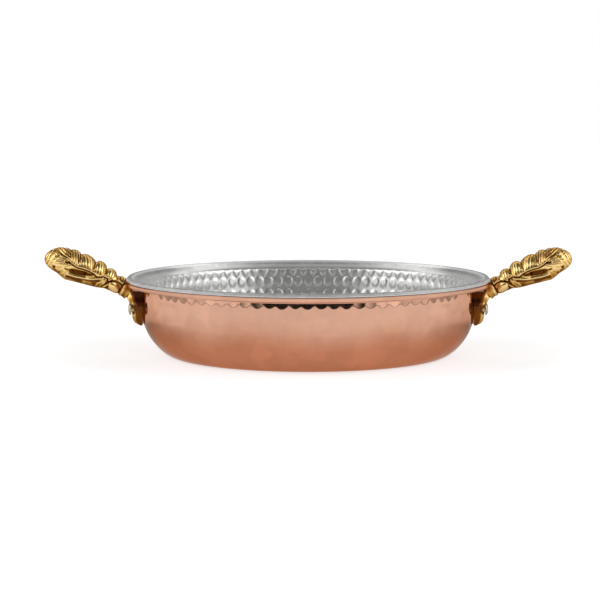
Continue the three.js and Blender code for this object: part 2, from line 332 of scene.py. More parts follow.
def bridged(piece, circles):
    """Joins the open edges that lie on two circles, given as radius and height."""
    close = 0.02 * MM
    only(piece)
    bpy.ops.object.mode_set(mode="EDIT")
    bpy.ops.mesh.select_mode(type="EDGE")
    bpy.ops.mesh.select_all(action="DESELECT")
    shape = bmesh.from_edit_mesh(piece.data)
    for edge in shape.edges:
        if not edge.is_boundary:
            continue
        spot = edge.verts[0].co
        radius = math.hypot(spot.x, spot.y)
        if any(math.hypot(radius - r, spot.z - z) < close for r, z in circles):
            edge.select = True
    bmesh.update_edit_mesh(piece.data)
    bpy.ops.mesh.bridge_edge_loops()
    bpy.ops.object.mode_set(mode="OBJECT")


def joined(pieces):
    only(*pieces)
    bpy.ops.object.join()
    return bpy.context.object


def shaded_smooth(piece, degrees):
    only(piece)
    bpy.ops.object.shade_smooth_by_angle(angle=math.radians(degrees))


def combined(piece, other, operation):
    """Joins or cuts with another closed mesh, and removes that one."""
    only(piece)
    modifier = piece.modifiers.new("combine", "BOOLEAN")
    modifier.operation = operation
    modifier.solver = "EXACT"
    modifier.object = other
    bpy.ops.object.modifier_apply(modifier=modifier.name)
    bpy.data.objects.remove(other)
    if not piece.data.polygons:
        raise RuntimeError(f"{piece.name} was lost in a {operation.lower()}")
    return piece


def finished(piece, node, finish):
    """Gives a piece its finish and its place in the frame."""
    piece.data.materials.clear()
    piece.data.materials.append(finish)
    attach(piece, "root")
    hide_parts(node)


# Finishes


class Nodes:
    """A tree whose nodes are added one after another, each handing on its output."""

    def __init__(self, tree):
        self.tree = tree

    def give(self, socket, value):
        """Links a socket to an output, or gives it a number, a vector or a colour."""
        if isinstance(value, bpy.types.NodeSocket):
            self.tree.links.new(value, socket)
        elif socket.type == "RGBA":
            socket.default_value = (*value, 1)
        else:
            socket.default_value = value

    def node(self, kind, inputs=(), **settings):
        node = self.tree.nodes.new(kind)
        for name, value in settings.items():
            setattr(node, name, value)
        for name, value in dict(inputs).items():
            self.give(node.inputs[name], value)
        return node

    def math(self, operation, first, second):
        node = self.node("ShaderNodeMath", {0: first, 1: second}, operation=operation)
        return node.outputs["Value"]

    def total(self, first, *others):
        for other in others:
            first = self.math("ADD", first, other)
        return first

    def product(self, first, *others):
        for other in others:
            first = self.math("MULTIPLY", first, other)
        return first

    def ranged(self, value, low, high, to_low, to_high, smooth=False):
        node = self.node(
            "ShaderNodeMapRange",
            {"Value": value, "From Min": low, "From Max": high, "To Min": to_low, "To Max": to_high},
            interpolation_type="SMOOTHSTEP" if smooth else "LINEAR",
        )
        return node.outputs["Result"]

    def rising(self, value, low, high):
        return self.ranged(value, low, high, 0, 1, smooth=True)

    def falling(self, value, low, high):
        return self.ranged(value, low, high, 1, 0, smooth=True)

    def apart(self, vector):
        """The three parts of a vector."""
        return self.node("ShaderNodeSeparateXYZ", {"Vector": vector}).outputs

    def reach(self, vector):
        """The length of a vector."""
        return self.node("ShaderNodeVectorMath", {0: vector}, operation="LENGTH").outputs["Value"]

    def from_axis(self, x, y):
        """How far a point lies from the upright axis."""
        return self.reach(self.node("ShaderNodeCombineXYZ", {"X": x, "Y": y}).outputs["Vector"])

    def mixed(self, share, first, second, blend="MIX", kind="RGBA"):
        node = self.node("ShaderNodeMix", data_type=kind, blend_type=blend)
        for name, value in (("Factor", share), ("A", first), ("B", second)):
            self.give(next(s for s in node.inputs if s.name == name and s.enabled), value)
        return next(s for s in node.outputs if s.enabled)


class Finish(Nodes):
    """The nodes of a new material that end in its shader."""

    def __init__(self, name):
        self.material = bpy.data.materials.new(name)
        self.material.use_nodes = True
        super().__init__(self.material.node_tree)
        self.shader = self.tree.nodes["Principled BSDF"]
        self.point = self.node("ShaderNodeTexCoord").outputs["Object"]

    def noise(self, scale, detail=4.0, roughness=0.5, vector=None):
        vector = vector or self.point
        inputs = {"Vector": vector, "Scale": scale, "Detail": detail, "Roughness": roughness}
        return self.node("ShaderNodeTexNoise", inputs).outputs["Fac"]

    def spread(self, noise, low, high):
        """Spreads the usual range of a noise over another one."""
        return self.ranged(noise, 0.3, 0.7, low, high)

    def bump(self, height, distance, strength):
        inputs = {"Height": height, "Distance": distance, "Strength": strength}
        return self.node("ShaderNodeBump", inputs).outputs["Normal"]

    def into(self, **values):
        """Gives the shader its values, under the names of its inputs."""
        for name, value in values.items():
            self.give(self.shader.inputs[name.replace("_", " ")], value)
        return self.material


def copper_finish(finishes):
    """Copper that turns darker and redder near the base as a painted reflection of the shaded floor
    there, with faint stains, and brushed up the wall.
    """
    finish = Finish("polished_copper")
    height = finish.apart(finish.point)["Z"]
    clouds = finish.noise(38, 3)
    uneven = finish.total(height, finish.spread(clouds, -3 * MM, 3 * MM))
    # Painted reflection: the colour turns darker and redder towards the base, standing in for the
    # shaded floor mirrored there.
    low = finish.falling(uneven, 12 * MM, 33 * MM)
    tone = finish.mixed(low, finishes.copper, finishes.copper_low_shade)
    blows = finish.node(
        "ShaderNodeTexVoronoi",
        {"Vector": finish.point, "Scale": 75.0, "Smoothness": 0.35},
        feature="SMOOTH_F1",
    ).outputs["Color"]
    stains = finish.total(
        finish.ranged(finish.noise(140, 6, 0.65), 0.35, 0.75, 0.95, 1.03),
        finish.ranged(blows, 0.2, 0.8, -0.05, 0.05),
    )
    grey = finish.node("ShaderNodeCombineXYZ", {"X": stains, "Y": stains, "Z": stains})
    stained_and_shaded = finish.mixed(1.0, tone, grey.outputs["Vector"], "MULTIPLY")
    upright = finish.node("ShaderNodeMapping", {"Vector": finish.point, "Scale": (1, 1, 0.08)})
    brushed = finish.noise(900, 2, vector=upright.outputs["Vector"])
    return finish.into(
        Base_Color=stained_and_shaded,
        Metallic=1.0,
        Roughness=finish.total(
            finish.spread(clouds, 0.08, 0.12), finish.spread(brushed, -0.02, 0.02)
        ),
        Normal=finish.bump(brushed, 0.004 * MM, 0.5),
        Specular_Tint=finishes.copper_glint,
    )


def tin_finish(finishes):
    """Wiped tin, mottled and shiny in the flare, where a painted dark reflection also darkens it,
    with painted highlights on the lip's edges, painted shade where the tin ends, and a dull top on
    the lip.
    """
    finish = Finish("wiped_tin")
    rim, top = RIM_RADIUS, PAN_HEIGHT
    x, y, height = finish.apart(finish.point)
    radius = finish.from_axis(x, y)
    lip = finish.product(
        finish.rising(radius, rim - 3.3 * MM, rim - 2.7 * MM),
        finish.rising(height, top - 1.7 * MM, top - 1.3 * MM),
    )
    flare = finish.rising(radius, rim - 10 * MM, rim - 6 * MM)
    # Painted highlights: a band on the inner rounding of the lip and one along its outer edge, both
    # made bright and less metallic.
    inner_edge_highlight = finish.product(
        finish.rising(radius, rim - 6.4 * MM, rim - 4 * MM),
        finish.falling(radius, rim - 3.4 * MM, rim - 3.1 * MM),
    )
    outer_edge_highlight = finish.product(
        finish.rising(radius, rim - 1.3 * MM, rim - 1 * MM),
        finish.falling(height, top - 0.4 * MM, top - 0.2 * MM),
    )
    # Painted shade: the tin's lower edge outside the lip is darkened where the step to the copper
    # lies in shade.
    tin_end_shade = finish.product(
        finish.falling(height, top - 2.1 * MM, top - 1.7 * MM),
        finish.ranged(radius, rim - 1.3 * MM, rim - 1 * MM, 0, 0.85),
    )

    clouds = finish.noise(55, 5, 0.6)
    specks = finish.noise(700, 3, 0.6)
    mottled = finish.ranged(finish.noise(240, 5, 0.7), 0.35, 0.7, 0.3, 0.9)
    # The clouds and specks are the tin's own dull spots. The darker mottled flare is partly a painted
    # dark reflection of the room it mirrors.
    dull = finish.total(
        finish.ranged(clouds, 0.45, 0.8, 0, 0.35),
        finish.ranged(specks, 0.55, 0.8, 0, 0.25),
        finish.product(lip, 0.2),
        finish.product(flare, mottled),
    )
    # The edges are mixed towards bright tin as painted highlights.
    edges = finish.math("MAXIMUM", inner_edge_highlight, finish.product(outer_edge_highlight, 0.5))
    tone = finish.mixed(dull, finishes.tin, finishes.tin_dull_and_shade)
    tone = finish.mixed(finish.product(edges, 0.8), tone, finishes.tin_highlight)
    return finish.into(
        Base_Color=finish.mixed(tin_end_shade, tone, finishes.tin_edge_shade),
        Metallic=finish.total(
            finish.ranged(flare, 0, 1, 0.52, 0.9),
            finish.product(lip, -0.6),
            finish.product(inner_edge_highlight, -0.6),
        ),
        Roughness=finish.total(
            finish.spread(clouds, 0.13, 0.2),
            finish.spread(specks, 0, 0.05),
            finish.product(lip, 0.38),
            finish.product(flare, -0.08),
        ),
        Normal=finish.bump(finish.noise(420, 4, 0.55), 0.006 * MM, 0.5),
    )


def brass_finish(finishes):
    """Cast brass, bright where the carving stands high, brown with patina in its hollows, and near
    black in the painted shade on the foot under the lip.
    """
    finish = Finish("cast_brass")
    height = finish.total(
        finish.node("ShaderNodeAttribute", attribute_name="carving").outputs["Fac"],
        finish.spread(finish.noise(160, 5, 0.6), -0.2, 0.14),
        finish.spread(finish.noise(1400, 3, 0.6), -0.06, 0.06),
    )
    tone = finish.mixed(finish.rising(height, 0.2, 0.5), finishes.brass_dark, finishes.brass_mid)
    tone = finish.mixed(finish.rising(height, 0.5, 0.8), tone, finishes.brass)
    # Painted shade: values below 0, set on the foot's shaded edges under the lip, turn near black.
    tone = finish.mixed(finish.falling(height, -0.55, -0.15), tone, finishes.brass_shade_black)
    return finish.into(
        Base_Color=tone,
        Metallic=0.88,
        Roughness=finish.ranged(height, 0.25, 0.75, 0.42, 0.2),
        Normal=finish.bump(finish.noise(1100, 5, 0.6), 0.03 * MM, 0.7),
        Specular_Tint=finishes.brass_glint,
    )


def rivet_finish(finishes):
    """Pale brass with darker clouds."""
    finish = Finish("rivet_brass")
    clouds = finish.noise(420, 4)
    worn = finish.ranged(clouds, 0.4, 0.75, 0, 1)
    darker = [0.62 * part for part in finishes.rivet]
    return finish.into(
        Base_Color=finish.mixed(worn, finishes.rivet, darker),
        Metallic=1.0,
        Roughness=finish.spread(clouds, 0.26, 0.4),
        Normal=finish.bump(finish.noise(900, 4), 0.03 * MM, 0.6),
    )


# The bowl


def leaned(line, bowl, neck):
    """Keeps the tinned wall inside a slightly sloping one that starts at its neck."""
    slope = math.tan(math.radians(bowl.inner_lean))
    limit = line[:, 0].max() - slope * (neck - line[:, 1])
    return np.column_stack([np.minimum(line[:, 0], limit), line[:, 1]])


def corner_line(bowl, steps):
    """The outside of the bowl's rounded corner, from the base to the wall."""
    width = bowl.wall_radius - bowl.base_radius
    foot_pull, wall_lean, wall_pull = 0.44, 0.03, 0.57
    start = (bowl.base_radius, 0)
    curve = bezier(
        start,
        (bowl.base_radius + width * foot_pull, 0),
        (bowl.wall_radius - width * wall_lean, bowl.corner_height * wall_pull),
        (bowl.wall_radius, bowl.corner_height),
        steps,
    )
    return np.vstack([start, curve])


def outside_line(bowl):
    """The copper's outside, from the middle of the base to the round outside of the lip."""
    base_rings = (0, 16, 32, 48, 62, 72)
    fine_from, fine_pitch = bowl.neck_height - 2.4 * MM, 0.26 * MM
    rounding = np.array([0.93, 0.95]) * MM
    flare_end = (bowl.rim_radius - 1.0 * MM, bowl.lip_bottom)
    wall_heights = np.concatenate([
        np.arange(bowl.corner_height + MM, fine_from, MM),
        np.arange(fine_from, bowl.neck_top, fine_pitch),
        [bowl.neck_top],
    ])
    return np.vstack([
        [(radius * MM, 0) for radius in base_rings],
        corner_line(bowl, 24),
        [(bowl.wall_radius, height) for height in wall_heights],
        bezier(
            (bowl.wall_radius, bowl.neck_top),
            (bowl.wall_radius + 0.1 * MM, bowl.neck_top + 0.75 * MM),
            (bowl.wall_radius + 4.2 * MM, bowl.lip_bottom - 0.1 * MM),
            flare_end,
            16,
        ),
        arc((flare_end[0], flare_end[1] + rounding[1]), rounding, -90, 0, 5),
    ])


def tinned_line(bowl, skin):
    """The copper under the tin, from the outside of the lip to the bowl's axis."""
    outer = bowl.rim_radius - skin
    inner = bowl.rim_radius - bowl.lip_width + skin
    top = bowl.height - skin
    outer_rounding = np.array([0.35, 0.3]) * MM
    inner_rounding = 0.5 * MM
    lip_slope = 0.95 * MM
    rounded_from = (outer - lip_slope, top - outer_rounding[1])
    wall_inside = bowl.wall_radius - bowl.sheet
    inner_neck = bowl.inner_neck
    rounding = arc(
        (inner + inner_rounding, top - inner_rounding), (inner_rounding, inner_rounding), 90, 121, 3
    )
    flare = bezier(
        (wall_inside, inner_neck),
        (wall_inside + 0.2 * MM, inner_neck + 0.9 * MM),
        rounding[-1] - (2.1 * MM, 1.3 * MM),
        rounding[-1],
        14,
    )[::-1][1:]
    straight = np.linspace(bowl.corner_height, inner_neck, 9)[1:]
    bowl_side = np.vstack([
        [(0, 0)], corner_line(bowl, 40), [(bowl.wall_radius, height) for height in straight]
    ])
    inside = leaned(offset_line(bowl_side, bowl.sheet), bowl, inner_neck)
    return np.vstack([
        [(outer, bowl.height - 2.1 * MM)],
        even_line(np.array([(outer, bowl.height - 2.0 * MM), rounded_from]), 0.4 * MM),
        arc((rounded_from[0] - outer_rounding[0], rounded_from[1]), outer_rounding, 25, 90, 5),
        [(inner + inner_rounding, top)],
        rounding,
        flare,
        inside[::-1],
    ])


def coarser_inwards(line):
    """Thins the hidden side of a layer: every point at the lip, fewer towards the axis."""
    return thinned(line, (0, 13), (13, 26, 3), (26, len(line), 6))


def planished(angle, height, bowl):
    """How far the soft planishing facets lie below the turned wall."""
    rows = np.arange(2 * MM, bowl.neck_height, bowl.facet_pitch * 0.8)
    blows = round(FULL_TURN * bowl.wall_radius / bowl.facet_pitch)
    chance = np.random.default_rng(11)
    lowest = np.full(len(angle), 1.0)
    for row, row_height in enumerate(rows):
        for blow in range(blows):
            spot = (blow + 0.5 * (row % 2) + chance.uniform(-0.3, 0.3)) / blows * FULL_TURN
            level = row_height + chance.uniform(-0.25, 0.25) * bowl.facet_pitch
            sink = chance.uniform(-0.03, 0.03) * MM
            turn = (angle - spot + math.pi) % FULL_TURN - math.pi
            away = (turn * bowl.wall_radius) ** 2 + (height - level) ** 2
            lowest = np.minimum(lowest, away / (2 * bowl.facet_bow) + sink)
    return lowest


def neck_dents(angle, height, bowl):
    """How deep the row of dents under the lip cuts in at each point."""
    pitch = FULL_TURN / bowl.scallops
    cusp = 2.1 * MM
    chance = np.random.default_rng(5)
    shift = chance.uniform(-0.06, 0.06, bowl.scallops)
    drop = chance.uniform(-0.3, 0.3, bowl.scallops) * MM
    slope = bowl.scallop_slope * chance.uniform(0.85, 1.15, bowl.scallops)
    which = np.floor(angle / pitch).astype(int) % bowl.scallops
    across = angle / pitch - np.floor(angle / pitch) - 0.5 - shift[which]
    bottom = bowl.neck_height + drop[which] + cusp * (across * 2) ** 2
    return slope[which] * np.maximum(height - bottom, 0)


class PAN_OT_copper_bowl(bpy.types.Operator):
    """Turn the copper bowl and hammer its neck and wall"""

    bl_idname = "pan.copper_bowl"
    bl_label = "Copper bowl"

    def execute(self, context):
        bowl = context.scene.pan_bowl
        lining = context.scene.pan_lining
        columns = bowl.scallops * 8
        skin = lining.thickness + lining.gap
        ledge = bowl.height - lining.edge_drop - lining.gap
        outside = np.vstack([outside_line(bowl), [(bowl.rim_radius, ledge)]])
        inside = coarser_inwards(tinned_line(bowl, skin))
        outline = np.vstack([outside, [(bowl.rim_radius - skin, ledge)], inside])
        piece = turned("copper_bowl", outline, columns)
        angle, place = turned_places(piece, outline, columns)
        struck = place < len(outside) - 4
        radius, height = self.hammered(bowl, outline, place, angle, struck)
        put_round(piece, radius, height, angle)
        faces_outwards(piece)
        shaded_smooth(piece, 50)
        finished(piece, "pan_body", copper_finish(context.scene.pan_finishes))
        return {"FINISHED"}

    def hammered(self, bowl, outline, place, angle, struck):
        """Radius and height of each corner, with the facets of the wall and the neck's dents."""
        radius, height = outline[place, 0], outline[place, 1]
        normals = outline_normals(outline)[place]
        wall_end = bowl.neck_height - 4 * MM
        wall = struck & (radius > bowl.base_radius) & (height < bowl.neck_height)
        fade = smooth_step(height, 0, 8 * MM) * (
            1 - smooth_step(height, wall_end, bowl.neck_height - 0.3 * MM)
        )
        sink = np.where(wall, planished(angle, height, bowl) * fade, 0)
        radius = radius - normals[:, 0] * sink
        height = height - normals[:, 1] * sink
        dent = neck_dents(angle, height, bowl)
        dent *= 1 - smooth_step(radius, bowl.wall_radius + 1 * MM, bowl.wall_radius + 5 * MM)
        return radius - np.where(struck & (height > bowl.corner_height), dent, 0), height


# The lining


def skin_lines(bowl, lining):
    """The open face and the hidden back of the tin, from its edge over the lip to the axis."""
    covered = tinned_line(bowl, lining.thickness + lining.gap)
    edge_height = bowl.height - lining.edge_drop
    covered[0, 1] = edge_height
    front = offset_line(covered, -lining.thickness - lining.gap)
    front[-1, 0] = 0
    rounded = np.array([(-0.42, 0), (-0.2, 0.2), (-0.06, 0.5), (0, 0.9)]) * MM
    front = np.vstack([rounded + (bowl.rim_radius, edge_height), front[2:]])
    back = offset_line(covered, -lining.gap)
    back[-1, 0] = 0
    back[0, 1] += 0.25 * MM
    return front, back


def mark_rows(lining, front, along):
    """Rows of hammer marks: place along the wall, count, phase, half length, half width, taper."""
    pitch = FULL_TURN * np.interp(0, along, front[:, 0]) / lining.marks

    def marks_at(place):
        radius = max(np.interp(place, along, front[:, 0]), 3 * MM)
        return round(FULL_TURN * radius / pitch)

    wedges = (-1.0 * MM, lining.marks, 0.5, 3.4 * MM, 3.9 * MM, 0.8)
    rows = [wedges]
    place = lining.first_row
    while place < along[-1] - 2 * MM:
        on_wall = place <= 2.5 * lining.row_pitch
        count = lining.marks if on_wall else max(5, marks_at(place))
        phase = 0.0 if count == lining.marks else 0.5 * (len(rows) % 2)
        rows.append((place, count, phase, lining.mark_length, lining.mark_width, 0.0))
        place += lining.row_pitch
    return rows


def hammered(angle, along, radius, rows, mark_height):
    """How far the hammer marks stand out at each point of the lining."""
    chance = np.random.default_rng(3)
    lift = np.zeros(len(angle))
    for place, count, phase, half_length, half_width, taper in rows:
        pitch = FULL_TURN / count
        shift = chance.normal(0, 0.035, count)
        slide = chance.normal(0, 0.12, count) * MM
        width = chance.uniform(0.93, 1.07, count)
        power = chance.uniform(0.75, 1.2, count)
        lean = chance.normal(0, 0.05, count)
        tilt = chance.normal(0, 0.018, count)
        near = np.abs(along - place) < half_length + 0.6 * MM
        turn = angle[near] / pitch - phase
        which = np.round(turn).astype(int) % count
        level = (along[near] - place - slide[which]) / half_length
        across = (turn - np.round(turn) - shift[which]) * pitch * radius[near]
        across = across - lean[which] * level * half_length
        narrowed = half_width * width[which] * np.clip(1 - taper * (1 + level) / 2, 0.1, 1)
        reach = np.sqrt((across / narrowed) ** 2 + level**2)
        plateau = smooth_step(1 - reach, 0, 0.34)
        rise = mark_height * power[which] * (0.85 * plateau + 0.15 * np.maximum(1 - reach**2, 0))
        rise += tilt[which] * across * plateau
        lift[near] = np.where(reach < 1, rise, lift[near])
    return lift


def skin_courses(lining, front, along, neck):
    """Rings of the open face: points, their places along it, and how many columns go round.

    The rings get coarser towards the axis, and they meet between two rows of marks.
    """
    lip_end, wall_start = -3.2 * MM, -2.8 * MM
    lip = along < lip_end
    courses = [(front[lip], along[lip], lining.marks * 6)]
    first_gap = lining.first_row + lining.row_pitch / 2
    ends = [lining.first_row + 1.5 * lining.row_pitch]
    for radius in (79 * MM, 46 * MM, 20 * MM):
        place = np.interp(-radius, -front[neck:, 0], along[neck:])
        gap_number = round((place - first_gap) / lining.row_pitch)
        ends.append(first_gap + gap_number * lining.row_pitch)
    ends.append(along[-1])
    pitches = np.array([0.7, 1.1, 1.2, 1.3, 1.4]) * MM
    column_counts = (lining.marks * 12, lining.marks * 6, 432, 216, 108)
    start = wall_start
    for end, pitch, columns in zip(ends, pitches, column_counts):
        half_gap = pitch / 2 if end < along[-1] else 0
        places = np.linspace(start, end - half_gap, round((end - start) / pitch) + 1)
        courses.append((at_lengths(front, along, places), places, columns))
        start = end + half_gap
    return courses


class PAN_OT_tin_lining(bpy.types.Operator):
    """Turn the tin skin over the inside and the lip, with its rows of hammer marks"""

    bl_idname = "pan.tin_lining"
    bl_label = "Tin lining"

    def execute(self, context):
        bowl = context.scene.pan_bowl
        lining = context.scene.pan_lining
        front, back = skin_lines(bowl, lining)
        inside = front[:, 0] < bowl.rim_radius - 5 * MM
        neck = np.argmax(inside & (front[:, 1] < bowl.inner_neck))
        along = lengths_along(front)
        along -= along[neck]
        rows = mark_rows(lining, front, along)
        courses = skin_courses(lining, front, along, neck)
        lines = [line for line, *_ in courses]
        normals = outline_normals(np.vstack(lines))
        parts = []
        for line, places, columns in courses:
            parts.append(self.course(lining, line, places, columns, normals[:len(line)], rows))
            normals = normals[len(line):]
        hidden = coarser_inwards(back)
        parts.append(self.plain_turned("back", hidden, 288))
        joins = [(above[-1], below[0]) for above, below in zip(lines, lines[1:])]
        piece = joined(parts)
        for circles in (*joins, (front[0], hidden[0])):
            bridged(piece, circles)
        faces_outwards(piece)
        shaded_smooth(piece, 60)
        finished(piece, "tin_lining", tin_finish(context.scene.pan_finishes))
        return {"FINISHED"}

    def course(self, lining, line, places, columns, normals, rows):
        """One ring of the open face with its hammer marks, plain along both its edges."""
        part = turned("tin_skin", line, columns)
        angle, place = turned_places(part, line, columns)
        lift = hammered(angle, places[place], line[place, 0], rows, lining.mark_height)
        lift *= smooth_step(places[place], -2.8 * MM, -1.2 * MM)
        lift[(place == 0) | (place == len(line) - 1)] = 0
        spots = line[place] + normals[place] * lift[:, None]
        put_round(part, spots[:, 0], spots[:, 1], angle)
        return part

    def plain_turned(self, name, line, columns):
        """Turns a line and puts each corner exactly on its place."""
        part = turned(name, line, columns)
        angle, place = turned_places(part, line, columns)
        put_round(part, line[place, 0], line[place, 1], angle)
        return part


# The handles


LEAF_LENGTH = 56.7 * MM
# Share of the leaf's length, then how far it reaches over its middle line in millimetres.
LEAF_TOP = [
    (0, 5.3), (0.138, 5.5), (0.175, 5.7), (0.208, 4.8), (0.233, 5.3), (0.251, 6.5), (0.291, 7.0),
    (0.32, 6.6), (0.342, 5.8), (0.364, 7.1), (0.393, 8.05), (0.437, 8.3), (0.455, 7.7),
    (0.47, 6.6), (0.495, 7.6), (0.525, 8.3), (0.576, 8.9), (0.612, 8.8), (0.634, 8.2),
    (0.656, 8.6), (0.685, 9.2), (0.718, 9.5), (0.743, 9.1), (0.79, 9.5), (0.816, 9.1),
    (0.86, 9.0), (0.889, 8.3), (0.918, 7.2), (0.947, 5.7), (0.98, 3.6), (0.992, 2.2), (1, 0),
]
# The same under its middle line.
LEAF_BOTTOM = [
    (0, 5), (0.073, 4.5), (0.146, 5.1), (0.219, 5.7), (0.277, 6), (0.313, 6.7), (0.364, 7.7),
    (0.437, 8.4), (0.51, 8.9), (0.583, 9.4), (0.656, 9.6), (0.729, 9.6), (0.772, 8.7),
    (0.838, 6.9), (0.911, 5.5), (0.969, 3.6), (0.99, 2.1), (1, 0),
]
# Share of the leaf's length, then share of its half width.
LEAF_WIDTH = [
    (0, 0.52), (0.12, 0.56), (0.24, 0.68), (0.36, 0.83), (0.48, 0.95), (0.6, 1), (0.72, 1),
    (0.8, 0.96), (0.88, 0.82), (0.94, 0.6), (0.98, 0.34), (1, 0),
]
# Shares of the leaf's length between which the lobes lie.
LOBES = [0.12, 0.208, 0.342, 0.47, 0.634, 0.735]
# Under the lobes: share of the leaf's length, then millimetres over its middle line.
VEIN = [
    (0.0, 1.9), (0.12, 1.9), (0.16, 2.2), (0.2, 2.0), (0.235, 1.0), (0.26, -0.2), (0.285, 0.5),
    (0.31, 1.0), (0.34, 0.8), (0.37, -0.2), (0.4, -0.7), (0.44, 0.2), (0.5, 0.6), (0.55, 0.6),
    (0.62, 0.3), (0.66, 0.8), (0.72, 2.0), (0.83, 6.0), (0.9, 8.0), (1, 9.5),
]
# Lighter, or darker below 0, then half width in millimetres and places along and across the leaf.
PATINA = [
    (-0.17, 2.2, [(0.33, -5.0), (0.42, -6.8), (0.5, -7.6), (0.57, -8.0)]),
    (-0.26, 1.5, [(0.5, -1.6), (0.58, -2.4), (0.66, -2.9)]),
    (-0.25, 1.1, [(0.56, -7.0), (0.62, -7.4), (0.7, -7.3)]),
    (-0.22, 1.6, [(0.65, 4.0), (0.72, 5.5)]),
    (-0.12, 1.6, [(0.2, -4.5), (0.24, -5.6)]),
    (0.3, 3.6, [(0.76, -1.0), (0.86, -1.0), (0.94, 1.5)]),
    (0.25, 2.4, [(0.82, 3.5), (0.88, 3.5), (0.94, 2.5)]),
    (-0.14, 0.35, [(0.7, -1.0), (0.78, -0.5), (0.85, 0.6)]),
    (-0.14, 0.35, [(0.7, -2.2), (0.79, -2.5), (0.87, -2.2)]),
    (-0.12, 0.4, [(0.71, -4.2), (0.79, -4.7), (0.86, -4.6)]),
    (-0.16, 1.2, [(0.72, -7.6), (0.8, -6.6), (0.88, -5.4)]),
    (-0.22, 1.4, [(0.14, -4.2), (0.2, -5.2), (0.27, -5.8)]),
    (0.18, 2.6, [(0.24, 3.5), (0.36, 3.8), (0.45, 4.0), (0.55, 4.5), (0.66, 5.0)]),
]
# Height, or depth below 0, and half width in millimetres, then places along and across the leaf.
STROKES = [
    # The groove of the vein
    (-0.8, 0.4, VEIN[1:6]),
    (-0.65, 0.36, [*VEIN[6:16], (0.72, 1.8)]),
    # Grooves across the leaf behind the knob
    (-0.8, 0.45, [(0.285, 1), (0.275, -1), (0.285, -3), (0.31, -4.5)]),
    (-0.8, 0.45, [(0.24, 1), (0.258, -1), (0.25, -3), (0.255, -5)]),
    # The branch under the vein, with the hollows beside it
    (0.7, 0.8, [(0.34, -0.3), (0.39, -1.8), (0.47, -3.8), (0.54, -4.6), (0.62, -5.4), (0.7, -5.3)]),
    (-0.5, 0.5, [(0.36, -2.4), (0.42, -4.3), (0.5, -5.6), (0.56, -6.3)]),
    (-0.8, 1.1, [(0.55, -6.9), (0.62, -7.3), (0.7, -7.2)]),
    (-0.7, 0.6, [(0.45, -0.9), (0.49, -1.3), (0.53, -1.7)]),
    (-1.5, 1.5, [(0.53, -1.9), (0.6, -2.5), (0.67, -3.0)]),
    (-0.5, 0.45, [(0.66, -2.6), (0.71, -2.7), (0.75, -2.4)]),
    (0.4, 0.5, [(0.43, -1.0), (0.5, -2.9), (0.56, -3.2), (0.62, -3.2)]),
    # Rings and a dent round the root
    (0.4, 0.8, [(0.09, 3), (0.085, -2), (0.09, -5)]),
    (-0.6, 0.45, [(0.115, 3.5), (0.112, 0), (0.115, -5)]),
    (-0.7, 0.6, [(0.15, 3.7), (0.17, 3.7)]),
    # Petals round the tip
    (0.35, 0.8, [(0.85, 5.4), (0.9, 1.8), (0.935, -1.8), (0.945, -4)]),
    (0.3, 0.7, [(0.9, 6.4), (0.945, 2.7), (0.965, -1.3)]),
    (-0.22, 0.4, [(0.835, 3.9), (0.87, 1.6), (0.91, -1.8), (0.925, -4)]),
    (-0.25, 0.4, [(0.885, 6.4), (0.925, 2.4), (0.955, -2.2)]),
    (-0.25, 0.4, [(0.925, 6.2), (0.965, 2.2), (0.98, -0.8)]),
    (-1.0, 0.55, [(0.865, -3.1), (0.88, -3.6)]),
    (-0.8, 0.4, [(0.808, -5.6), (0.815, -5.9)]),
    (-0.5, 0.5, [(0.89, -2.6), (0.87, -4.4), (0.84, -5.4)]),
    # Folds between the knob and the branch, and a dent behind the last lobe
    (0.35, 0.6, [(0.255, -2), (0.3, -5.4)]),
    (0.35, 0.6, [(0.3, -2.2), (0.34, -6.2)]),
    (-0.45, 0.35, [(0.265, -1.5), (0.29, -4.0), (0.325, -6.2)]),
    (-0.9, 0.6, [(0.72, 2.0), (0.745, 1.4), (0.76, 1.6)]),
    (0.45, 0.7, [(0.3, -0.6), (0.33, -2.2), (0.36, -4.2), (0.37, -6.0)]),
]


def along_leaf(share):
    """Millimetres along the leaf at a share of its length."""
    return share * LEAF_LENGTH / MM


def with_strokes(values, share, across, strokes):
    """Adds the height of raised and sunk lines to the value of each point of the leaf."""
    along = along_leaf(share)
    for height, half_width, places in strokes:
        spots = np.array(places) * (along_leaf(1), 1)
        nearest = np.full(len(along), 1e9)
        for (x1, y1), (x2, y2) in zip(spots[:-1], spots[1:]):
            reach = np.array([x2 - x1, y2 - y1])
            part = ((along - x1) * reach[0] + (across - y1) * reach[1]) / (reach @ reach)
            part = np.clip(part, 0, 1)
            away = (along - x1 - part * reach[0]) ** 2 + (across - y1 - part * reach[1]) ** 2
            nearest = np.minimum(nearest, away)
        values = values + height * np.exp(-nearest / half_width**2)
    return values


